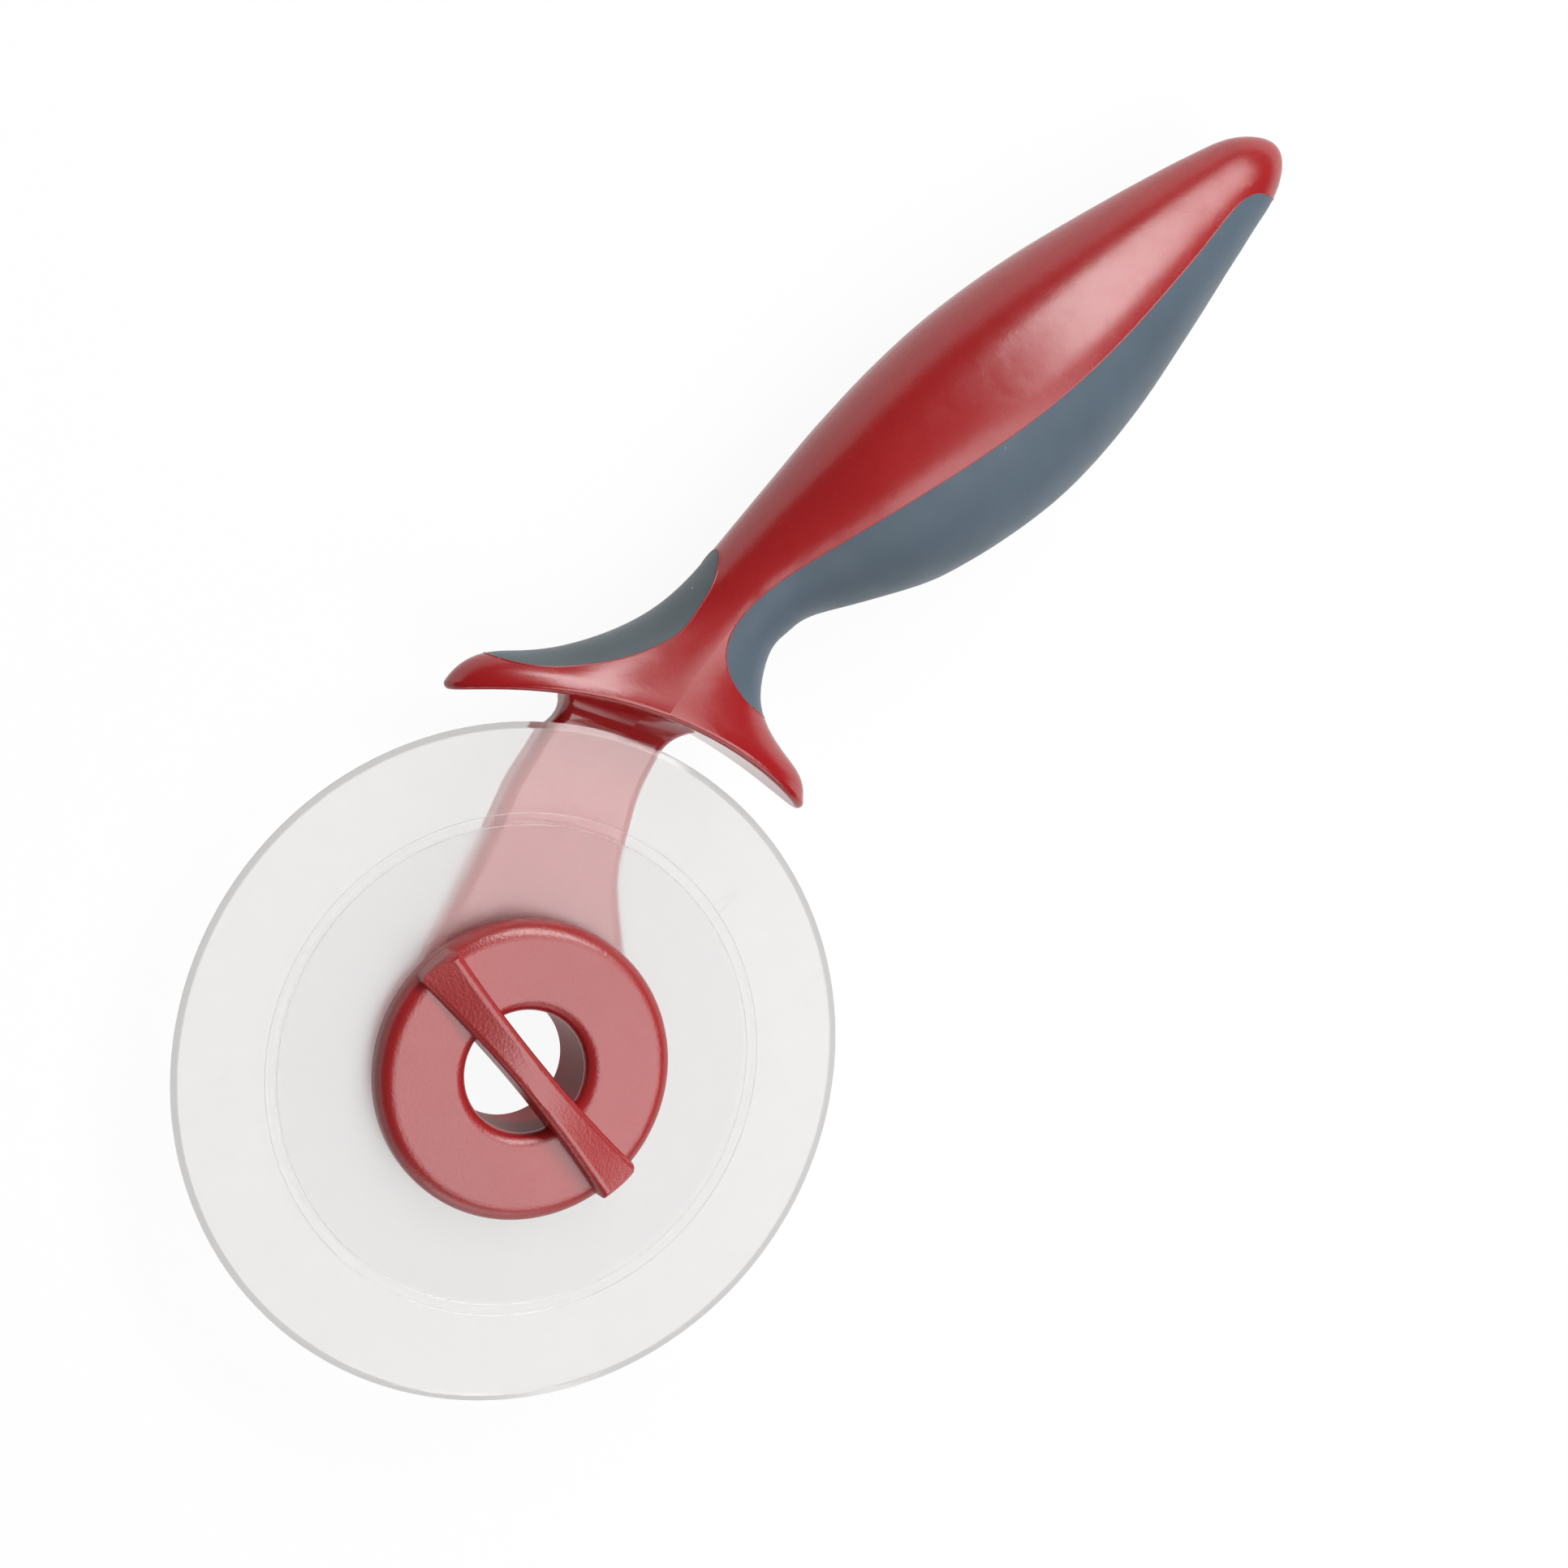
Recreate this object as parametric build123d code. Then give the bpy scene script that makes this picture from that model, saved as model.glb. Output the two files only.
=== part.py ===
from build123d import *
import math
import os

# A hand-held pizza cutter: a plastic wheel on a hollow axle, a twist-off knob in front of it,
# and a one-piece arm, guard and handle with soft grips moulded on.
# Origin: the wheel's centre on its spin axis, half way through the wheel's thickness.
# +Z points to the knob side, +X runs along the handle towards its end, +Y is the thumb side.

# Wheel
wheel_radius = 51.0
wheel_plate_thickness = 2.4
wheel_plate_radius = 36.0
wheel_step_width = 1.7
wheel_step_depth = 0.12
wheel_edge_bevel_width = 1.0
wheel_bevel_end_thickness = 0.8
wheel_edge_thickness = 0.24

# Fits and gaps
axle_running_clearance = 0.08
wheel_side_play = 0.15
press_seat_gap = 0.05
bayonet_gap = 0.15
bayonet_radial_gap = 0.3
cut_overrun = 5.0

# Hollow axle, fixed in the boss
axle_bore_radius = 9.15
axle_wall = 1.85
axle_mouth_rounding = 0.9
axle_flange_width = 3.0
axle_flange_thickness = 1.4

# Bayonet between the axle and the knob
bayonet_count = 3
bayonet_lug_height = 1.7
bayonet_lug_thickness = 1.3
bayonet_lug_angle = 44.0
bayonet_tab_thickness = 1.0
bayonet_tab_angle = 50.0
bayonet_stop_angle = 5.0
bayonet_stop_play_angle = 3.0

# Knob
knob_radius = 22.4
knob_thickness = 4.75
knob_edge_rounding = 2.6
knob_foot_rounding = 0.9
knob_lip_rounding = 2.05
knob_roof_gap = 0.2

# Knob grip bar: a ridge that leans one way at one end and the other way at the other end
bar_height = 3.2
bar_end_half_width = 3.9
bar_waist_half_width = 2.6
bar_end_rounding = 2.2
bar_corner_rounding = 1.1
bar_plan_rounding = 2.2
bar_lean_shares = (1.0, 0.62, 0.0, -0.62, -1.0)
bar_crest_share = 0.86
bar_low_shoulder_share = 0.66

# Boss and arm behind the wheel
boss_radius = 20.5
boss_thickness = 6.6
boss_edge_rounding = 1.2
arm_angle = 31.0
arm_thickness = 5.6
arm_relief = 0.25
arm_corner_rounding = 1.5
arm_sweep_radius = 5.5
arm_neck_rise = 1.1
arm_rise_length = 17.0

# Finger guard. Its edge rounding is limited by a share of guard_half_length, as its lip is.
guard_gap = 4.5
guard_arch_radius = 68.0
guard_half_length = 29.0
guard_half_depth = 9.1
guard_edge_rounding = 0.8
guard_edge_limit_share = 0.0285

# Handle, measured from the guard's middle
handle_length = 133.8
handle_half_width = 16.9
handle_half_depth = 14.4
section_spacing = 5.0

# Soft grips and the plug under them
grip_skin = 2.2
core_start_share = 0.33
core_end_share = 0.75
core_half_width = 7.5
core_rise_share = 0.45
core_gap = 0.15

# Places worked out from the sizes above
wheel_half_thickness = wheel_plate_thickness / 2
inner_face_z = wheel_half_thickness + wheel_side_play
axle_radius = axle_bore_radius + axle_wall
boss_back_z = -inner_face_z - boss_thickness
tab_top_z = inner_face_z + bayonet_tab_thickness
lug_bottom_z = tab_top_z + bayonet_gap
axle_front_z = lug_bottom_z + bayonet_lug_thickness
lug_radius = axle_radius + bayonet_lug_height
socket_radius = lug_radius + bayonet_radial_gap
tab_inner_radius = axle_radius + bayonet_radial_gap
socket_roof_z = axle_front_z + knob_roof_gap
knob_face_z = inner_face_z + knob_thickness
guard_radius = wheel_radius + guard_gap
arm_length = guard_radius
arm_direction = Vector(math.cos(math.radians(arm_angle)), math.sin(math.radians(arm_angle)), 0)
guard_middle = arm_direction * guard_radius


def ring_sector(inner_radius, outer_radius, bottom_z, top_z, middle_angle, span_angle):
    """A block of a ring, cut to an angle about the wheel's axis."""
    start_angle = middle_angle - span_angle / 2
    face = Face(Wire([
        Edge.make_circle(outer_radius, start_angle=start_angle, end_angle=start_angle + span_angle),
        Line(polar_point(outer_radius, start_angle + span_angle),
             polar_point(inner_radius, start_angle + span_angle)).edge(),
        Edge.make_circle(inner_radius, start_angle=start_angle, end_angle=start_angle + span_angle),
        Line(polar_point(inner_radius, start_angle), polar_point(outer_radius, start_angle)).edge(),
    ]))
    return Pos(0, 0, bottom_z) * extrude(face, amount=top_z - bottom_z, dir=(0, 0, 1))


def polar_point(radius, angle):
    """A point in the XY plane at a radius and an angle in degrees."""
    return Vector(radius * math.cos(math.radians(angle)), radius * math.sin(math.radians(angle)), 0)


def turned(points):
    """A solid turned about the wheel's axis from (radius, z) corners."""
    outline = Polyline([Vector(radius, 0, z) for radius, z in points], close=True)
    return revolve(make_face(outline), axis=Axis.Z)


def make_blade():
    """The wheel: a flat frosted plate, a shallow step, a long bevel and a short cutting bevel."""
    bore_radius = axle_radius + axle_running_clearance
    step_radius = wheel_plate_radius + wheel_step_width
    step_z = wheel_half_thickness - wheel_step_depth
    bevel_radius = wheel_radius - wheel_edge_bevel_width
    bevel_z = wheel_bevel_end_thickness / 2
    edge_z = wheel_edge_thickness / 2
    upper = [(bore_radius, wheel_half_thickness), (wheel_plate_radius, wheel_half_thickness),
             (step_radius, step_z), (bevel_radius, bevel_z), (wheel_radius, edge_z)]
    lower = [(radius, -z) for radius, z in reversed(upper)]
    return turned(upper + lower)


def make_axle_tube():
    """The hollow axle with its back flange and the bayonet lugs at its front end."""
    flange_radius = axle_radius + axle_flange_width
    flange_front_z = boss_back_z + axle_flange_thickness
    tube = turned([(axle_bore_radius, boss_back_z), (flange_radius, boss_back_z),
                   (flange_radius, flange_front_z), (axle_radius, flange_front_z),
                   (axle_radius, axle_front_z), (axle_bore_radius, axle_front_z)])
    mouth = tube.edges().filter_by(GeomType.CIRCLE).filter_by(
        lambda edge: abs(edge.radius - axle_bore_radius) < press_seat_gap).sort_by(Axis.Z)[0]
    tube = fillet(mouth, axle_mouth_rounding)
    for index in range(bayonet_count):
        middle = 360.0 / bayonet_count * index
        tube += ring_sector(axle_radius - axle_wall / 2, lug_radius, lug_bottom_z, axle_front_z,
                            middle, bayonet_lug_angle)
        stop_middle = middle - bayonet_tab_angle / 2 - bayonet_stop_play_angle - bayonet_stop_angle / 2
        tube += ring_sector(axle_radius - axle_wall / 2, lug_radius, inner_face_z + bayonet_gap,
                            axle_front_z, stop_middle, bayonet_stop_angle)
    return tube


def make_grip_bar():
    """The knob's grip bar: leaning ridge sections lofted from end to end and rounded off."""
    top_z = knob_face_z + bar_height
    foot_z = socket_roof_z
    count = len(bar_lean_shares)
    sections = []
    for index, lean in enumerate(bar_lean_shares):
        place = 1 - 2 * index / (count - 1)
        half = bar_waist_half_width + (bar_end_half_width - bar_waist_half_width) * place ** 2
        drop = bar_height * bar_low_shoulder_share
        crest = half * bar_crest_share
        right = (crest, top_z - drop * max(0, -lean))
        left = (-crest, top_z - drop * max(0, lean))
        plane = Plane(origin=(0, knob_radius * place, 0), x_dir=(1, 0, 0), z_dir=(0, -1, 0))
        face = make_face(Polyline([(-half, foot_z), (half, foot_z), right, left], close=True))
        sections.append(plane * fillet(face.vertices().sort_by(Axis.Y)[2:], bar_corner_rounding))
    bar = loft(sections)
    rounded_plan = RectangleRounded(2 * bar_end_half_width, 2 * knob_radius, bar_plan_rounding)
    bar &= Pos(0, 0, foot_z) * extrude(rounded_plan, amount=top_z - foot_z)
    cap = Pos(0, 0, foot_z) * Cylinder(knob_radius, top_z - foot_z,
                                       align=(Align.CENTER, Align.CENTER, Align.MIN))
    cap = fillet(cap.edges().group_by(Axis.Z)[-1], bar_end_rounding)
    return bar & cap


def make_release_knob():
    """The twist-off knob: a rounded disc with its grip bar, a stepped bore and three inner tabs."""
    disc = Pos(0, 0, inner_face_z) * Cylinder(knob_radius, knob_thickness,
                                              align=(Align.CENTER, Align.CENTER, Align.MIN))
    disc = fillet(disc.edges().group_by(Axis.Z)[-1], knob_edge_rounding)
    disc = fillet(disc.edges().group_by(Axis.Z)[0], knob_foot_rounding)
    disc -= Cylinder(axle_bore_radius, 2 * (knob_face_z + cut_overrun))
    lip = disc.edges().filter_by(GeomType.CIRCLE).group_by(Axis.Z)[-1].sort_by(SortBy.RADIUS)[0]
    disc = fillet(lip, knob_lip_rounding)
    disc -= Cylinder(socket_radius, 2 * socket_roof_z)
    knob = disc + make_grip_bar()
    for index in range(bayonet_count):
        middle = 360.0 / bayonet_count * index
        knob += ring_sector(tab_inner_radius, socket_radius + bayonet_radial_gap, inner_face_z, tab_top_z,
                            middle, bayonet_tab_angle)
    return knob


# Sections of the guard's flare and of the handle. Each row holds the place along and across from
# the guard's middle, the lean as a share of arm_angle, the half width, the half depth and the skin
# as a share of grip_skin. Flare rows are shares of the guard's half length and half depth, handle
# rows are shares of the handle's length, half width and half depth.
flare_shares = (
    (-0.304, -0.182, 0.93, 0.940, 1.00, 1.0),
    (-0.150, -0.093, 0.93, 1.002, 1.00, 1.2),
    (-0.059, -0.048, 0.93, 1.014, 1.00, 1.4),
    (0.006, -0.044, 0.93, 0.909, 0.97, 1.7),
    (0.163, -0.002, 0.92, 0.615, 0.90, 1.7),
    (0.272, 0.018, 0.87, 0.485, 0.87, 1.5),
    (0.412, 0.036, 0.75, 0.377, 0.85, 1.2),
    (0.586, 0.066, 0.53, 0.300, 0.84, 1.0),
)
handle_shares = (
    (0.169, 0.169, 0.26, 0.477, 0.555, 1.0),
    (0.212, 0.178, 0.08, 0.530, 0.610, 1.0),
    (0.279, 0.105, 0.00, 0.693, 0.735, 1.0),
    (0.354, 0.027, 0.00, 0.867, 0.885, 1.0),
    (0.450, -0.007, 0.00, 0.984, 0.980, 1.0),
    (0.545, -0.017, 0.00, 1.014, 1.000, 1.0),
    (0.653, 0.005, 0.00, 0.926, 0.930, 1.0),
    (0.765, 0.047, 0.00, 0.742, 0.755, 1.0),
    (0.875, 0.087, 0.00, 0.530, 0.545, 1.0),
    (0.945, 0.097, 0.00, 0.385, 0.410, 1.0),
    (1.000, 0.085, 0.00, 0.285, 0.305, 1.0),
)
end_rounding_share = 0.06
end_turns = (22.5, 45.0, 66.0, 80.0)
inner_end_turn_limit = 50.0

# Seams of the soft grips seen from the front, as (along, across) from the guard's middle. The
# handle's points are shares of handle_length and handle_half_width, the guard's of
# guard_half_length. The first and last point of each seam lie outside the body.
grip_seam_handle_shares = (
    (0.985, -0.500), (0.944, -0.135), (0.918, 0.025), (0.898, 0.048), (0.850, 0.016), (0.760, -0.047),
    (0.600, -0.097), (0.470, -0.035), (0.365, 0.065), (0.257, 0.170),
)
grip_seam_guard_shares = (
    (0.807, 0.128), (0.640, 0.110), (0.530, 0.070), (0.460, 0.010), (0.415, -0.090), (0.408, -0.210),
    (0.440, -0.360), (0.530, -0.600),
)
pad_seam_guard_shares = (
    (0.900, 0.480), (0.835, 0.398), (0.770, 0.362), (0.660, 0.310), (0.500, 0.264), (0.380, 0.244),
    (0.230, 0.265), (-0.011, 0.363), (-0.173, 0.466), (-0.317, 0.587), (-0.433, 0.731), (-0.500, 0.860),
)

# The arm's two edges seen from the front: the place along the arm as a share of arm_length and the
# place across it as a share of boss_radius, from inside the boss to inside the guard.
arm_thumb_edge_shares = (
    (0.05, 0.93), (0.25, 0.87), (0.43, 0.80), (0.61, 0.745), (0.73, 0.705), (0.80, 0.66), (0.865, 0.615),
    (0.90, 0.56), (0.935, 0.54), (0.965, 0.565), (1.00, 0.63), (1.03, 0.70),
)
arm_finger_edge_shares = (
    (1.03, -0.58), (1.00, -0.46), (0.965, -0.36), (0.92, -0.30), (0.86, -0.265), (0.79, -0.24),
    (0.68, -0.25), (0.58, -0.28), (0.43, -0.45), (0.25, -0.67), (0.05, -0.86),
)


def form_rows():
    """The section rows in millimetres and degrees, in order from the guard to the handle's end."""
    rows = [(guard_half_length * along, guard_half_length * across, arm_angle * lean,
             guard_half_length * width, guard_half_depth * depth, skin)
            for along, across, lean, width, depth, skin in flare_shares]
    rows += [(handle_length * along, handle_half_width * across, arm_angle * lean,
              handle_half_width * width, handle_half_depth * depth, skin)
             for along, across, lean, width, depth, skin in handle_shares]
    return rows


def blended_row(rows, place):
    """The row at a place between the given ones, on smooth curves through their values."""
    last = len(rows) - 1
    low = max(index for index in range(last) if rows[index][0] <= place or index == 0)
    span = rows[low + 1][0] - rows[low][0]
    share = (place - rows[low][0]) / span

    def slope(index, column):
        before = rows[max(index - 1, 0)]
        after = rows[min(index + 1, last)]
        return (after[column] - before[column]) / (after[0] - before[0])

    values = [place]
    for column in range(1, len(rows[0])):
        start, end = rows[low][column], rows[low + 1][column]
        values.append(start * (1 + 2 * share) * (1 - share) ** 2
                      + end * (3 - 2 * share) * share ** 2
                      + slope(low, column) * span * share * (1 - share) ** 2
                      - slope(low + 1, column) * span * (1 - share) * share ** 2)
    return values


def form_section(row, round_start, inset):
    """One oval section of the form, rounded down towards the handle's end and drawn in by an inset."""
    along, across, lean, half_width, half_depth, skin = row
    turn = max(0.0, along - round_start) / (handle_length - round_start)
    closing = math.sqrt(1 - turn ** 2)
    drawn_in = inset * skin
    plane = Plane(origin=guard_middle + Vector(along, across, 0), x_dir=(0, 0, -1),
                  z_dir=(math.cos(math.radians(lean)), math.sin(math.radians(lean)), 0))
    return plane * Ellipse(half_depth * closing - drawn_in, half_width * closing - drawn_in)


def make_handle_form(inset):
    """The handle and the guard's flare as one smooth body, drawn in by an inset."""
    rows = form_rows()
    first = rows[0][0]
    round_start = handle_length * (1 - end_rounding_share)
    count = round((round_start - first) / section_spacing)
    places = [first + (round_start - first) * index / count for index in range(count + 1)]
    turns = [turn for turn in end_turns if inset == 0 or turn < inner_end_turn_limit]
    places += [round_start + (handle_length - round_start) * math.sin(math.radians(turn)) for turn in turns]
    sections = [form_section(blended_row(rows, place), round_start, inset) for place in places]
    if inset == 0:
        sections.append(Vertex(guard_middle + Vector(handle_length, rows[-1][1], 0)))
    return loft(sections)


def seam_prism(points, far_corners):
    """All the space on one side of a seam, seen from the front."""
    seam = Spline(points)
    closing = Polyline([points[-1]] + far_corners + [points[0]])
    depth = 2 * handle_half_depth
    return Pos(0, 0, -depth) * extrude(make_face(Curve() + [seam, closing]), amount=2 * depth)


def make_grip_prism():
    """The space under the lower grip's seam."""
    points = [guard_middle + Vector(handle_length * along, handle_half_width * across, 0)
              for along, across in grip_seam_handle_shares]
    points += [guard_middle + Vector(guard_half_length * along, guard_half_length * across, 0)
               for along, across in grip_seam_guard_shares]
    below = guard_middle.Y - guard_half_length - handle_half_width
    return seam_prism(points, [Vector(points[-1].X, below, 0), Vector(points[0].X, below, 0)])


def make_pad_prism():
    """The space on the thumb side of the thumb pad's seam."""
    points = [guard_middle + Vector(guard_half_length * along, guard_half_length * across, 0)
              for along, across in pad_seam_guard_shares]
    above = guard_middle.Y + 2 * guard_half_length
    return seam_prism(points, [Vector(points[-1].X, above, 0), Vector(points[0].X, above, 0)])


def make_arm():
    """The arm: a flat tongue that sweeps up in front of the wheel's rim into the guard's underside."""
    front_z = -inner_face_z - arm_relief
    back_z = front_z - arm_thickness
    neck_back_z = back_z + arm_neck_rise
    sweep_start = arm_length - arm_sweep_radius
    sweep_top_z = front_z + arm_sweep_radius
    arm_end = arm_length * arm_thumb_edge_shares[-1][0]
    across_direction = Vector(-arm_direction.Y, arm_direction.X, 0)

    def plan_points(shares):
        return [arm_direction * (arm_length * along) + across_direction * (boss_radius * across)
                for along, across in shares]

    thumb_edge = Spline(plan_points(arm_thumb_edge_shares))
    finger_edge = Spline(plan_points(arm_finger_edge_shares))
    plan = make_face(Curve() + [thumb_edge, Line(thumb_edge @ 1, finger_edge @ 0), finger_edge,
                                Line(finger_edge @ 1, thumb_edge @ 0)])
    tongue = Pos(0, 0, back_z) * extrude(plan, amount=sweep_top_z - back_z)

    side = Plane(origin=(0, 0, 0), x_dir=arm_direction, z_dir=-across_direction)
    front = Line((0, front_z), (sweep_start, front_z))
    sweep = JernArc(front @ 1, (1, 0), arm_sweep_radius, 90)
    end = Polyline(sweep @ 1, (arm_end, sweep_top_z), (arm_end, neck_back_z), (arm_length, neck_back_z))
    rise = Spline(end @ 1, (arm_length - arm_rise_length, back_z), tangents=((-1, 0), (-1, 0)))
    back = Polyline(rise @ 1, (0, back_z), front @ 0)
    profile = side * make_face(Curve() + [front, sweep, end, rise, back])
    tongue &= extrude(profile, amount=2 * boss_radius, both=True)
    corners = tongue.edges().filter_by(GeomType.BSPLINE)
    return fillet(corners, arm_corner_rounding)


def make_boss():
    """The round boss that carries the hollow axle, with its back edge rounded."""
    boss = Pos(0, 0, boss_back_z) * Cylinder(boss_radius, boss_thickness,
                                             align=(Align.CENTER, Align.CENTER, Align.MIN))
    return fillet(boss.edges().group_by(Axis.Z)[0], boss_edge_rounding)


def make_axle_seat():
    """The stepped hole in the boss that the hollow axle is pressed into from behind."""
    hole_radius = axle_radius + press_seat_gap
    step_radius = hole_radius + axle_flange_width
    step_z = boss_back_z + axle_flange_thickness + press_seat_gap
    return turned([(0, boss_back_z - cut_overrun), (step_radius, boss_back_z - cut_overrun),
                   (step_radius, step_z), (hole_radius, step_z), (hole_radius, cut_overrun),
                   (0, cut_overrun)])


def make_core_block(gap):
    """The plug's block: a rounded oblong driven into the handle from the finger side."""
    start = handle_length * core_start_share - gap
    end = handle_length * core_end_share + gap
    half = core_half_width + gap
    top = handle_half_width * core_rise_share + gap
    plane = Plane(origin=guard_middle + Vector((start + end) / 2, top, 0), x_dir=(1, 0, 0), z_dir=(0, -1, 0))
    outline = plane * RectangleRounded(end - start, 2 * half, half / 2)
    return extrude(outline, amount=2 * handle_half_width)


def make_handle_parts():
    """The red moulding, its plug and the two soft grips, cut out of the same form."""
    arch_centre = guard_middle - arm_direction * guard_arch_radius
    arch = Pos(arch_centre) * Cylinder(guard_arch_radius, 2 * handle_half_width + cut_overrun)
    form = make_handle_form(0) - arch
    rim = form.faces().filter_by(GeomType.CYLINDER).sort_by(SortBy.AREA)[-1].edges()
    form = fillet(rim, min(guard_edge_rounding, guard_half_length * guard_edge_limit_share))
    inner_form = make_handle_form(grip_skin)
    grip_space = make_grip_prism() - inner_form
    pad_space = make_pad_prism() - inner_form
    lower_grip = form & grip_space
    thumb_pad = form & pad_space
    body = form - grip_space - pad_space - (inner_form & make_core_block(core_gap))
    core = inner_form & make_core_block(0)
    arm = make_arm() - pad_space - grip_space
    body = body + arm + make_boss() - make_axle_seat()
    return body, core, lower_grip, thumb_pad


if __name__ == "__main__":
    os.makedirs("parts", exist_ok=True)
    handle_body, handle_core, lower_grip, thumb_pad = make_handle_parts()
    nodes = {
        "blade": make_blade(),
        "axle_tube": make_axle_tube(),
        "release_knob": make_release_knob(),
        "handle_body": handle_body,
        "handle_core": handle_core,
        "lower_grip": lower_grip,
        "thumb_pad": thumb_pad,
    }
    for name, solid in nodes.items():
        export_step(solid, "parts/" + name + ".step")
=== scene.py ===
import math

import bmesh
import bpy
from mathutils import Matrix, Vector


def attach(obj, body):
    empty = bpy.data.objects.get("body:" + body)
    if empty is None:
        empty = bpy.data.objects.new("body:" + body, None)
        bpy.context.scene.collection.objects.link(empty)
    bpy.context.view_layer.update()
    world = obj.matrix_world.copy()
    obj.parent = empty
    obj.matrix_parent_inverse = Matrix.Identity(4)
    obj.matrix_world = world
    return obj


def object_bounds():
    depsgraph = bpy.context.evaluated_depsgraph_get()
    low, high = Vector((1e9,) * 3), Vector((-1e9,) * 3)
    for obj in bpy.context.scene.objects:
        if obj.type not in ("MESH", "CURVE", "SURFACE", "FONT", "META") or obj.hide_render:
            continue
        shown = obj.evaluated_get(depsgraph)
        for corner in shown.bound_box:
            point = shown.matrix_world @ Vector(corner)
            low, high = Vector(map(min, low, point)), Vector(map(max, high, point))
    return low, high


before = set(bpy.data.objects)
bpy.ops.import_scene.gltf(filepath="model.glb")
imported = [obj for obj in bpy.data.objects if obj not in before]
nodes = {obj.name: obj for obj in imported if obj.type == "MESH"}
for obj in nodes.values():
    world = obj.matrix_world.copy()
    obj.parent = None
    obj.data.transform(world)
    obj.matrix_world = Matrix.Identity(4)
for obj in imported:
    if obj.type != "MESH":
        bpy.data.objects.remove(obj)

cad_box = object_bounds()
scene = bpy.context.scene
scene.view_settings.view_transform = "Standard"
MM = 0.001

# Camera, fitted to the wheel's rim and the hub's circles; its axes and place are in the row frame
SENSOR_WIDTH_MM = 36.0
LENS_MM = 73.83
CLIP_START = 0.01
CAMERA_RIGHT = (0.73354, -0.56903, 0.37167)
CAMERA_UP = (0.64978, 0.74749, -0.13804)
CAMERA_BACK = (-0.19927, 0.34276, 0.91805)
CAMERA_PLACE_MM = (-38.54, 170.90, 444.03)

# Colours, linear
RED = (0.335, 0.009, 0.011)
RED_DEEP = (0.315, 0.008, 0.010)
RED_LIGHT = (0.350, 0.010, 0.012)
SLATE_DEEP = (0.055, 0.084, 0.114)
# The thumb pad's colours are the grip's slate made greyer and lighter: the real slate plus a painted sheen
# for the white light the pad reflects where it faces up and to the left
SLATE_LIGHT = (0.071, 0.106, 0.142)
PAD_DEEP_WITH_PAINTED_SHEEN = (0.070, 0.093, 0.104)
PAD_LIGHT_WITH_PAINTED_SHEEN = (0.088, 0.112, 0.124)
DUST = (0.55, 0.52, 0.50)
CLEAR_TINT = (0.93, 0.92, 0.915)
RING_TINT = (0.93, 0.912, 0.905)
PLATE_TINT = (0.99, 0.975, 0.97)
PAPER = (0.86, 0.86, 0.86)

# The guard's arch, inside which the red is polished, and the fold on the guard's front, in metres
ARCH_CENTRE = (-0.01071, -0.00644)
ARCH_GLOSS_EDGE = 0.0686
GLOSS_FADE = 0.0022
FOLD_START = (0.0522, 0.0289)
FOLD_END = (0.0631, 0.0313)
FOLD_WIDTH = 0.009
FOLD_SLOPE = 0.14
FOLD_FADE = 0.006

# The frosted plate's edge, in metres from the spin axis, and the lines at the step around it
FROST_FULL_RADIUS = 0.0358
FROST_END_RADIUS = 0.0362
STEP_INNER_RADIUS_MM = 36.0
STEP_INNER_HEIGHT_MM = 1.2
STEP_OUTER_RADIUS_MM = 37.7
STEP_OUTER_HEIGHT_MM = 1.08
STEP_LINE_RADIUS_MM = 0.05
STEP_LINE_POINTS = 180

# Moulding flash along the grips' seams
FLASH_RADIUS_MM = 0.13
FLASH_SINK = 0.007          # share of its height by which a bead is lowered
SEAM_MERGE = 0.000001
SEAM_FOLD_ANGLE = 0.6       # radians
SEAM_WALL_TILT = 0.02
SHORTEST_CHAIN = 4
BEAD_SIDES = 6

# Floor, world and lamps
FLOOR_GAP = 0.0002
FLOOR_REACH = 8.0
FLOOR_WHITE = 0.93          # share of plain white in what the camera sees of the floor
FLOOR_DIMMING = 0.33        # taken from the floor's white where it is seen through the wheel
WORLD_FILL = 0.08
BACKDROP_FADE = (0.04, 0.18)  # rise of a glossy ray where the white backdrop starts to fade, and ends
LAMP_AIM = (0.065, 0.027, 0.0)


# Camera

camera_data = bpy.data.cameras.new("camera")
camera_data.sensor_fit = "HORIZONTAL"
camera_data.sensor_width = SENSOR_WIDTH_MM
camera_data.lens = LENS_MM
camera_data.clip_start = CLIP_START
camera = bpy.data.objects.new("camera", camera_data)
camera_axes = Matrix((CAMERA_RIGHT, CAMERA_UP, CAMERA_BACK)).transposed()
camera.matrix_world = Matrix.Translation(Vector(CAMERA_PLACE_MM) * MM) @ camera_axes.to_4x4()
scene.collection.objects.link(camera)
scene.camera = camera


# Materials

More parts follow.
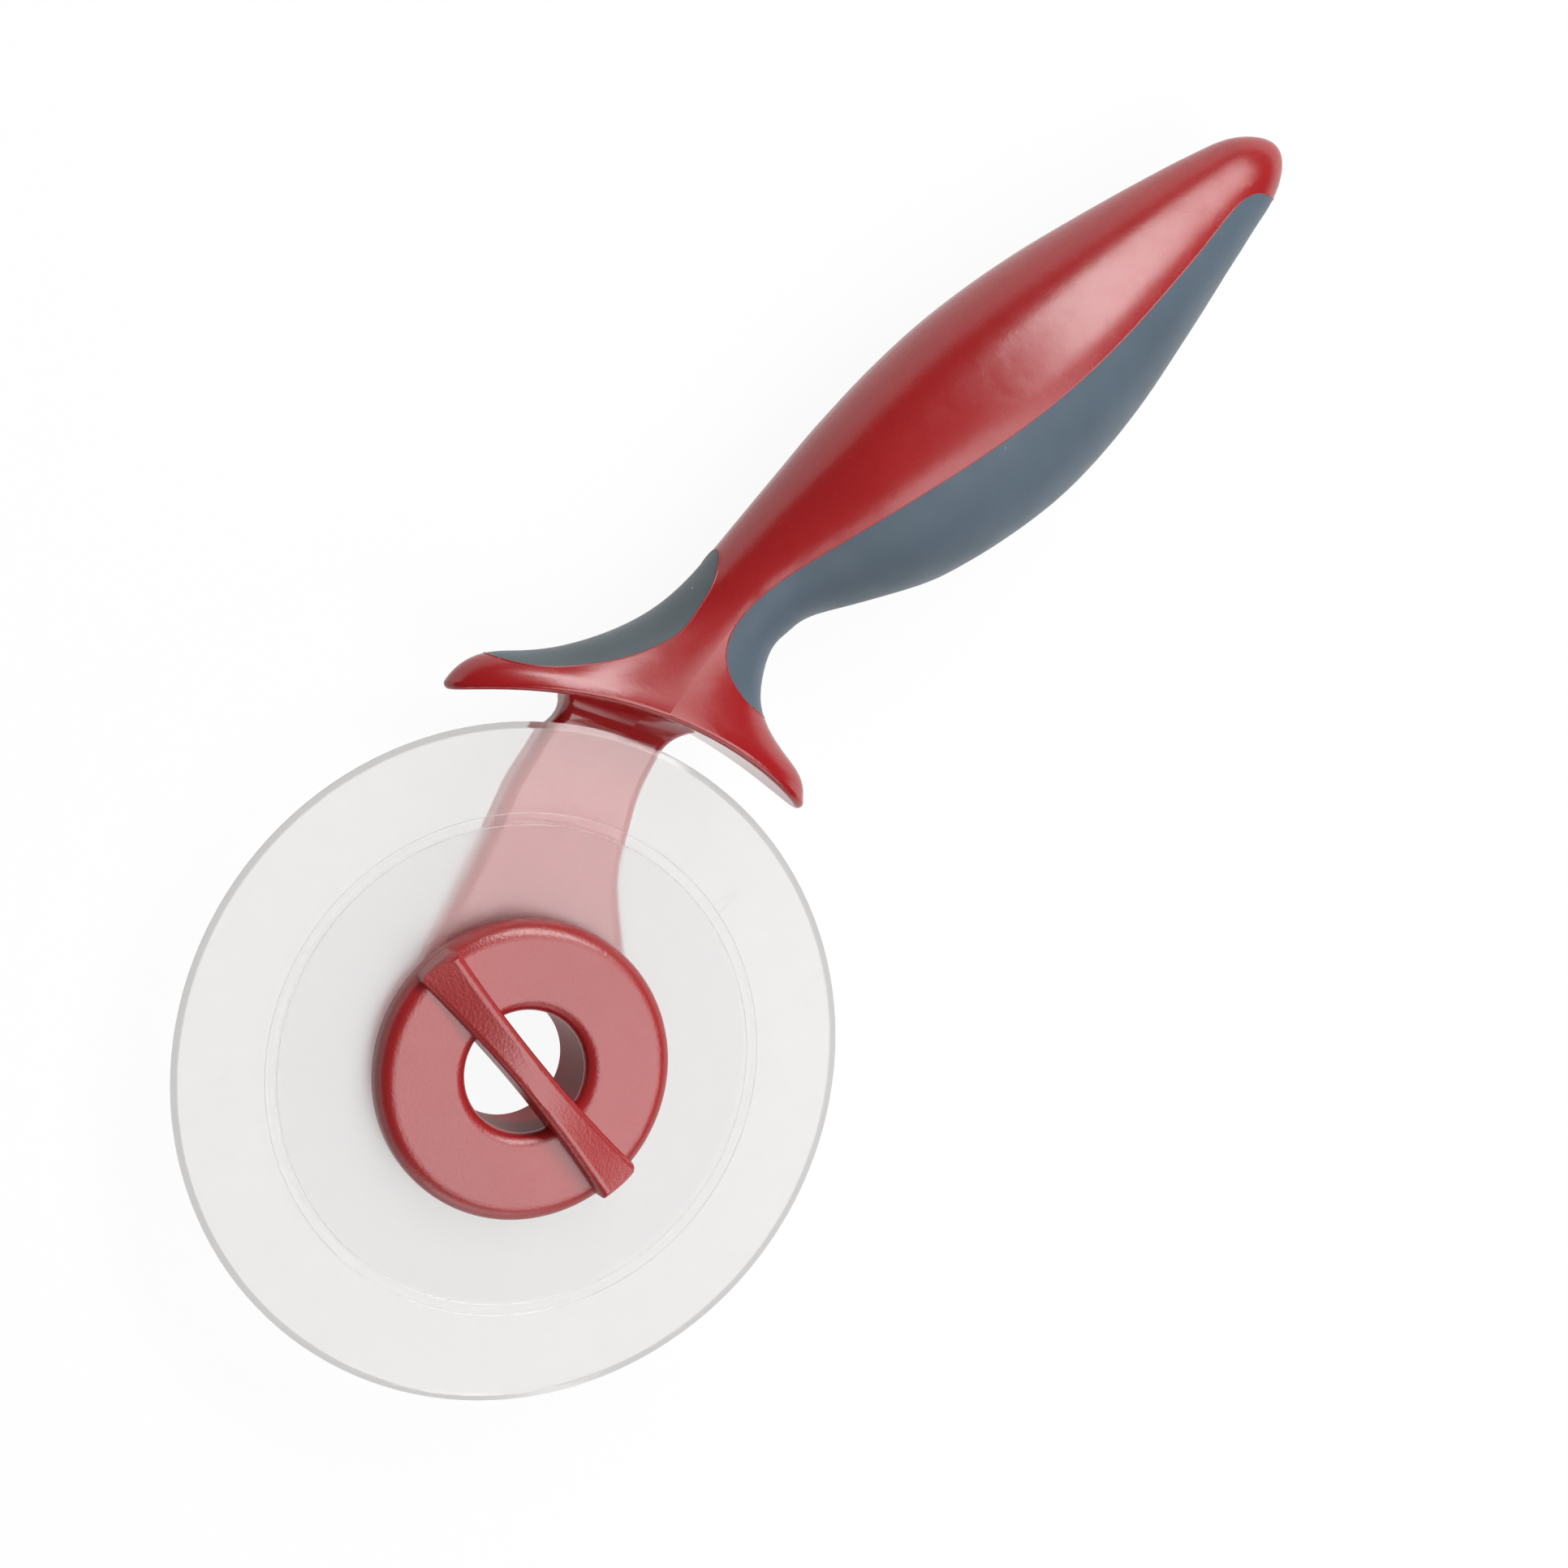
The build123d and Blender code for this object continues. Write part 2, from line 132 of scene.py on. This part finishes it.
class Material:
    """A node material built around one Principled shader."""

    def __init__(self, name, colour, roughness):
        self.material = bpy.data.materials.new(name)
        self.material.use_nodes = True
        self.tree = self.material.node_tree
        self.shader = self.tree.nodes["Principled BSDF"]
        self.shader.inputs["Base Color"].default_value = (*colour, 1.0)
        self.shader.inputs["Roughness"].default_value = roughness
        self.place = self.node("ShaderNodeTexCoord").outputs["Object"]
        split = self.node("ShaderNodeSeparateXYZ")
        self.link(self.place, split.inputs["Vector"])
        self.x = split.outputs["X"]
        self.y = split.outputs["Y"]

    def node(self, kind, **settings):
        made = self.tree.nodes.new(kind)
        for key, value in settings.items():
            setattr(made, key, value)
        return made

    def link(self, output, target):
        self.tree.links.new(output, target)

    def noise(self, size, detail=3.0, rough=0.55, place=None):
        """Noise whose grain is about size metres across."""
        made = self.node("ShaderNodeTexNoise")
        made.inputs["Scale"].default_value = 1.0 / size
        made.inputs["Detail"].default_value = detail
        made.inputs["Roughness"].default_value = rough
        self.link(place or self.place, made.inputs["Vector"])
        return made.outputs["Fac"]

    def spread(self, value, low, high, from_low=0.3, from_high=0.7):
        """The value laid out between low and high. A noise lies mostly between 0.3 and 0.7."""
        made = self.node("ShaderNodeMapRange")
        made.inputs["From Min"].default_value = from_low
        made.inputs["From Max"].default_value = from_high
        made.inputs["To Min"].default_value = low
        made.inputs["To Max"].default_value = high
        self.link(value, made.inputs["Value"])
        return made.outputs["Result"]

    def math(self, operation, first, second=None):
        """One operation on one or two values, each a number or another node's output."""
        made = self.node("ShaderNodeMath", operation=operation)
        for socket, value in zip(made.inputs, (first, second)):
            if value is None:
                continue
            if isinstance(value, (int, float)):
                socket.default_value = value
            else:
                self.link(value, socket)
        return made.outputs["Value"]

    def blend(self, factor, first, second):
        """A colour between two, by a factor. Each is written out or comes from another node."""
        made = self.node("ShaderNodeMix", data_type="RGBA")
        self.link(factor, made.inputs["Factor"])
        colour_a, colour_b, colour_out = made.inputs[6], made.inputs[7], made.outputs[2]
        for socket, colour in ((colour_a, first), (colour_b, second)):
            if isinstance(colour, tuple):
                socket.default_value = (*colour, 1.0)
            else:
                self.link(colour, socket)
        return colour_out

    def reach(self, centre_x, centre_y):
        """The distance from an upright line, in metres."""
        off_x = self.math("SUBTRACT", self.x, centre_x)
        off_y = self.math("SUBTRACT", self.y, centre_y)
        square_x = self.math("MULTIPLY", off_x, off_x)
        square_y = self.math("MULTIPLY", off_y, off_y)
        return self.math("SQRT", self.math("ADD", square_x, square_y))

    def crease(self, start, end, width, slope, fade):
        """The height of a soft fold: level on one side of a line, falling away on its other side."""
        run_x, run_y = end[0] - start[0], end[1] - start[1]
        length = math.hypot(run_x, run_y)
        along_x, along_y = run_x / length, run_y / length
        off_x = self.math("SUBTRACT", self.x, start[0])
        off_y = self.math("SUBTRACT", self.y, start[1])
        across = self.math("SUBTRACT", self.math("MULTIPLY", off_x, along_y),
                           self.math("MULTIPLY", off_y, along_x))
        along = self.math("ADD", self.math("MULTIPLY", off_x, along_x),
                          self.math("MULTIPLY", off_y, along_y))
        share = self.spread(across, 0.0, 1.0, 0.0, width)
        half_square = self.math("MULTIPLY", self.math("MULTIPLY", share, share), 0.5)
        fall = self.math("SUBTRACT", share, half_square)
        held = self.spread(along, -slope * width, 0.0, length, length + fade)
        return self.math("MULTIPLY", fall, held)

    def specks(self, spacing, size, share):
        """Sparse round specks: 1 inside a speck and 0 outside it."""
        cells = self.node("ShaderNodeTexVoronoi")
        cells.inputs["Scale"].default_value = 1.0 / spacing
        self.link(self.place, cells.inputs["Vector"])
        pick = self.node("ShaderNodeSeparateColor")
        self.link(cells.outputs["Color"], pick.inputs["Color"])
        limit = self.math("MULTIPLY", pick.outputs["Green"], size / spacing)
        near = self.math("LESS_THAN", cells.outputs["Distance"], limit)
        return self.math("MULTIPLY", near, self.math("LESS_THAN", pick.outputs["Red"], share))

    def scratches(self, spacing, width, turn):
        """Sparse fine scratches along one direction: 1 on a scratch and 0 beside it."""
        stretch, patch_limit = 0.12, 0.60
        laid = self.node("ShaderNodeMapping")
        laid.inputs["Rotation"].default_value = (0.0, 0.0, turn)
        laid.inputs["Scale"].default_value = (stretch, 1.0, 1.0)
        self.link(self.place, laid.inputs["Vector"])
        line = self.noise(spacing, 1.0, 0.5, laid.outputs["Vector"])
        off = self.math("ABSOLUTE", self.math("SUBTRACT", line, 0.5))
        near = self.math("LESS_THAN", off, width / spacing)
        patch = self.noise(4.0 * spacing, 2.0)
        return self.math("MULTIPLY", near, self.math("GREATER_THAN", patch, patch_limit))

    def dusty(self, tone, spacing, size, share, strength):
        """A colour with sparse specks of dust on it."""
        dust = self.specks(spacing, size, share)
        return self.blend(self.math("MULTIPLY", dust, strength), tone, DUST)

    def bump(self, height, distance, under=None):
        made = self.node("ShaderNodeBump")
        made.inputs["Distance"].default_value = distance
        made.inputs["Strength"].default_value = 1.0
        self.link(height, made.inputs["Height"])
        if under is not None:
            self.link(under, made.inputs["Normal"])
        return made.outputs["Normal"]


def red_plastic(name, roughness, reflection, grain_depth, gloss_edge=None):
    """Moulded red plastic: satin, with a fine mould grain, faint flow marks and a little dust.

    Inside gloss_edge, a distance from the guard's arch centre, it is polished instead.
    """
    flow_size, haze_size, grain_size, wave_size = 0.030, 0.004, 0.00045, 0.012
    wave_depth, haze_range, polished_roughness = 0.00003, (-0.012, 0.018), 0.12
    red = Material(name, RED, roughness)
    red.shader.inputs["Specular IOR Level"].default_value = reflection
    tone = red.blend(red.spread(red.noise(flow_size, 2.0), 0.0, 1.0), RED_DEEP, RED_LIGHT)
    colour = red.dusty(tone, spacing=0.0045, size=0.00016, share=0.25, strength=0.5)
    red.link(colour, red.shader.inputs["Base Color"])
    varied = red.spread(red.noise(haze_size, 4.0), *haze_range)
    level = roughness
    if gloss_edge is not None:
        arch = red.reach(*ARCH_CENTRE)
        level = red.spread(arch, polished_roughness, roughness, gloss_edge, gloss_edge + GLOSS_FADE)
    red.link(red.math("ADD", varied, level), red.shader.inputs["Roughness"])
    grain = red.bump(red.noise(grain_size, 2.0), grain_depth)
    surface = red.bump(red.noise(wave_size, 1.0), wave_depth, grain)
    if gloss_edge is not None:
        fold = red.crease(FOLD_START, FOLD_END, FOLD_WIDTH, FOLD_SLOPE, FOLD_FADE)
        surface = red.bump(fold, 1.0, surface)
    red.link(surface, red.shader.inputs["Normal"])
    return red.material


def soft_grip(name, deep, light):
    """Soft slate elastomer: matt, with a dusty sheen, a skin-like grain and specks of dust."""
    cloud_size, wear_size, grain_size, grain_depth = 0.018, 0.006, 0.00030, 0.00003
    grip = Material(name, light, 0.6)
    tone = grip.blend(grip.spread(grip.noise(cloud_size, 3.0), 0.0, 1.0), deep, light)
    colour = grip.dusty(tone, spacing=0.0035, size=0.00018, share=0.35, strength=0.45)
    grip.link(colour, grip.shader.inputs["Base Color"])
    wear = grip.noise(wear_size, 4.0)
    grip.link(grip.spread(wear, 0.50, 0.62), grip.shader.inputs["Roughness"])
    grip.shader.inputs["Sheen Weight"].default_value = 0.15
    grip.shader.inputs["Sheen Roughness"].default_value = 0.5
    grip.link(grip.bump(grip.noise(grain_size, 3.0), grain_depth), grip.shader.inputs["Normal"])
    return grip.material


def clear_plastic(name):
    """The wheel's clear plastic: frosted over the plate, polished and lightly scratched outside it."""
    frost_size, scuff_size, texture_size, texture_depth = 0.0006, 0.003, 0.0004, 0.00002
    frosted_range, scuffed_range, scratch_width, scratch_rise = (0.30, 0.42), (0.08, 0.13), 0.00003, 0.10
    ring_transmission, plate_transmission = 0.97, 0.93
    clear = Material(name, CLEAR_TINT, 0.3)
    clear.shader.inputs["IOR"].default_value = 1.5
    radius = clear.reach(0.0, 0.0)
    frost = clear.spread(radius, 1.0, 0.0, FROST_FULL_RADIUS, FROST_END_RADIUS)
    frosted = clear.spread(clear.noise(frost_size, 4.0), *frosted_range)
    scuffed = clear.spread(clear.noise(scuff_size, 5.0), *scuffed_range)
    marks = clear.math("ADD", clear.scratches(0.006, scratch_width, 0.4),
                       clear.scratches(0.009, scratch_width, 2.2))
    polished = clear.math("ADD", scuffed, clear.math("MULTIPLY", marks, scratch_rise))
    on_plate = clear.math("MULTIPLY", frost, frosted)
    on_ring = clear.math("MULTIPLY", clear.math("SUBTRACT", 1.0, frost), polished)
    clear.link(clear.math("ADD", on_plate, on_ring), clear.shader.inputs["Roughness"])
    clear.link(clear.blend(frost, RING_TINT, PLATE_TINT), clear.shader.inputs["Base Color"])
    passed = clear.spread(frost, ring_transmission, plate_transmission, 0.0, 1.0)
    clear.link(passed, clear.shader.inputs["Transmission Weight"])
    texture = clear.math("MULTIPLY", clear.noise(texture_size, 2.0), frost)
    clear.link(clear.bump(texture, texture_depth), clear.shader.inputs["Normal"])
    return clear.material


def floor_paint(name):
    """A white studio floor: it shows as white paper and keeps a faint shadow."""
    paper = Material(name, PAPER, 0.9)
    path = paper.node("ShaderNodeLightPath")
    seen = paper.math("MAXIMUM", path.outputs["Is Camera Ray"], path.outputs["Is Glossy Ray"])
    seen = paper.math("MAXIMUM", seen, path.outputs["Is Transmission Ray"])
    glow = paper.node("ShaderNodeEmission")
    through = paper.math("MULTIPLY", path.outputs["Is Transmission Ray"], FLOOR_DIMMING)
    paper.link(paper.math("SUBTRACT", 1.0, through), glow.inputs["Strength"])
    mix = paper.node("ShaderNodeMixShader")
    paper.link(paper.math("MULTIPLY", seen, FLOOR_WHITE), mix.inputs["Fac"])
    paper.link(paper.shader.outputs["BSDF"], mix.inputs[1])
    paper.link(glow.outputs["Emission"], mix.inputs[2])
    output = paper.tree.nodes["Material Output"]
    paper.link(mix.outputs["Shader"], output.inputs["Surface"])
    return paper.material


smooth_red = red_plastic("red_plastic", roughness=0.27, reflection=0.75, grain_depth=0.000010,
                         gloss_edge=ARCH_GLOSS_EDGE)
grained_red = red_plastic("red_plastic_grained", roughness=0.33, reflection=1.0, grain_depth=0.000060)
bore_red = red_plastic("red_plastic_bore", roughness=0.45, reflection=0.2, grain_depth=0.000010)
slate = soft_grip("soft_grip", SLATE_DEEP, SLATE_LIGHT)
# The thumb pad gets its own lighter, greyer copy of the grip material: the same slate with a painted sheen
# in its colour
pad_slate_with_painted_sheen = soft_grip("thumb_pad_grip_painted_sheen", PAD_DEEP_WITH_PAINTED_SHEEN, PAD_LIGHT_WITH_PAINTED_SHEEN)
clear = clear_plastic("clear_plastic")

for node, material in (("handle_body", smooth_red), ("axle_tube", bore_red),
                       ("release_knob", grained_red), ("lower_grip", slate),
                       ("thumb_pad", pad_slate_with_painted_sheen), ("handle_core", slate), ("blade", clear)):
    for place in nodes[node].material_slots:
        place.material = material


# Moulding flash along the grips' seams, and the witness lines of the wheel's step

def tube(name, points, closed, radius, body, material):
    """A fine bead of a given radius that follows points, closed into a ring or open."""
    count = len(points)
    verts = []
    for index, point in enumerate(points):
        if closed:
            before, after = points[index - 1], points[(index + 1) % count]
        else:
            before, after = points[max(index - 1, 0)], points[min(index + 1, count - 1)]
        along = (after - before).normalized()
        side = along.cross(Vector((0.0, 0.0, 1.0))).normalized()
        up = side.cross(along)
        for step in range(BEAD_SIDES):
            angle = math.tau * step / BEAD_SIDES
            verts.append(point + side * (radius * math.cos(angle)) + up * (radius * math.sin(angle)))
    faces = []
    for index in range(count if closed else count - 1):
        near, far = index * BEAD_SIDES, (index + 1) % count * BEAD_SIDES
        for step in range(BEAD_SIDES):
            turn = (step + 1) % BEAD_SIDES
            faces.append((near + step, near + turn, far + turn, far + step))
    mesh = bpy.data.meshes.new(name)
    mesh.from_pydata(verts, [], faces)
    mesh.polygons.foreach_set("use_smooth", [True] * len(faces))
    mesh.materials.append(material)
    bead = bpy.data.objects.new(name, mesh)
    scene.collection.objects.link(bead)
    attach(bead, body)


def seam_chains(node):
    """The outer edges of a grip's upright seam walls, as chains of points in the row frame."""
    mesh = bmesh.new()
    mesh.from_mesh(nodes[node].data)
    mesh.transform(nodes[node].matrix_world)
    bmesh.ops.remove_doubles(mesh, verts=mesh.verts, dist=SEAM_MERGE)
    mesh.normal_update()
    joined = {}
    for edge in mesh.edges:
        if len(edge.link_faces) != 2 or edge.calc_face_angle() < SEAM_FOLD_ANGLE:
            continue
        wall, skin = sorted(edge.link_faces, key=lambda face: abs(face.normal.z))
        height = (edge.verts[0].co.z + edge.verts[1].co.z) / 2
        if abs(wall.normal.z) < SEAM_WALL_TILT and skin.normal.z * height > 0.0:
            for first, second in (edge.verts, reversed(edge.verts)):
                joined.setdefault(first, []).append(second)
    chains = []
    while joined:
        start = min(joined, key=lambda vert: len(joined[vert]))
        chain = [start]
        while joined.get(chain[-1]):
            after = joined[chain[-1]].pop()
            joined[after].remove(chain[-1])
            chain.append(after)
        for vert in [vert for vert in joined if not joined[vert]]:
            del joined[vert]
        chains.append([vert.co * Vector((1.0, 1.0, 1.0 - FLASH_SINK)) for vert in chain])
    mesh.free()
    return [chain for chain in chains if len(chain) >= SHORTEST_CHAIN]


flash_red = red_plastic("seam_flash", roughness=0.25, reflection=0.8, grain_depth=0.000002)
for grip in ("lower_grip", "thumb_pad"):
    for number, chain in enumerate(seam_chains(grip), 1):
        tube(grip + "_flash_" + str(number), chain, False, FLASH_RADIUS_MM * MM,
             "handle", flash_red)

for name, radius_mm, height_mm in (("step_line_inner", STEP_INNER_RADIUS_MM, STEP_INNER_HEIGHT_MM),
                                   ("step_line_outer", STEP_OUTER_RADIUS_MM, STEP_OUTER_HEIGHT_MM)):
    angles = [math.tau * step / STEP_LINE_POINTS for step in range(STEP_LINE_POINTS)]
    ring = [Vector((radius_mm * MM * math.cos(angle), radius_mm * MM * math.sin(angle), height_mm * MM))
            for angle in angles]
    tube(name, ring, True, STEP_LINE_RADIUS_MM * MM, "wheel", clear)


# Floor, world and lamps

floor_z = cad_box[0][2] - FLOOR_GAP
floor_mesh = bpy.data.meshes.new("floor")
floor_corners = [(-FLOOR_REACH, -FLOOR_REACH, floor_z), (FLOOR_REACH, -FLOOR_REACH, floor_z),
                 (FLOOR_REACH, FLOOR_REACH, floor_z), (-FLOOR_REACH, FLOOR_REACH, floor_z)]
floor_mesh.from_pydata(floor_corners, [], [(0, 1, 2, 3)])
floor = bpy.data.objects.new("floor", floor_mesh)
floor_mesh.materials.append(floor_paint("floor_paper"))
scene.collection.objects.link(floor)


def studio_world(name, fill):
    """A dim room with a white backdrop: what the camera and glass see is white, gloss sees it low down."""
    world = bpy.data.worlds.new(name)
    world.use_nodes = True
    tree = world.node_tree
    path = tree.nodes.new("ShaderNodeLightPath")
    direction = tree.nodes.new("ShaderNodeTexCoord")
    split = tree.nodes.new("ShaderNodeSeparateXYZ")
    tree.links.new(direction.outputs["Generated"], split.inputs["Vector"])
    backdrop = tree.nodes.new("ShaderNodeMapRange")
    backdrop.inputs["From Min"].default_value = BACKDROP_FADE[0]
    backdrop.inputs["From Max"].default_value = BACKDROP_FADE[1]
    backdrop.inputs["To Min"].default_value = 1.0
    backdrop.inputs["To Max"].default_value = fill
    tree.links.new(split.outputs["Z"], backdrop.inputs["Value"])

    def combine(operation, first, second):
        made = tree.nodes.new("ShaderNodeMath")
        made.operation = operation
        for socket, value in zip(made.inputs, (first, second)):
            if isinstance(value, float):
                socket.default_value = value
            else:
                tree.links.new(value, socket)
        return made.outputs["Value"]

    strength = combine("MULTIPLY", path.outputs["Is Glossy Ray"], backdrop.outputs["Result"])
    strength = combine("MAXIMUM", path.outputs["Is Camera Ray"], strength)
    strength = combine("MAXIMUM", path.outputs["Is Transmission Ray"], strength)
    strength = combine("MAXIMUM", fill, strength)
    background = tree.nodes["Background"]
    background.inputs["Color"].default_value = (1.0, 1.0, 1.0, 1.0)
    tree.links.new(strength, background.inputs["Strength"])
    return world


def soft_box(name, toward, along, distance, width, length, power):
    """An area lamp that faces the object. Its direction and its long axis are in camera axes."""
    data = bpy.data.lights.new(name, "AREA")
    data.shape = "RECTANGLE"
    data.size = width
    data.size_y = length
    data.energy = power
    lamp = bpy.data.objects.new(name, data)
    facing = (camera_axes @ Vector(toward)).normalized()
    across = (camera_axes @ Vector(along)).cross(facing).normalized()
    turn = Matrix((across, facing.cross(across), facing)).transposed()
    lamp.matrix_world = Matrix.Translation(Vector(LAMP_AIM) + facing * distance) @ turn.to_4x4()
    scene.collection.objects.link(lamp)


scene.world = studio_world("world", WORLD_FILL)
soft_box("key_box", (0.59, 0.53, 0.61), (0.70, -0.715, 0.03),
         distance=1.0, width=0.40, length=0.95, power=9.6)
soft_box("side_box", (0.611, -0.407, 0.679), (0.0, 1.0, 0.0),
         distance=1.0, width=0.80, length=0.80, power=6.2)
soft_box("low_box", (0.05, -0.97, 0.15), (1.0, 0.0, 0.0),
         distance=0.8, width=0.25, length=0.70, power=1.1)
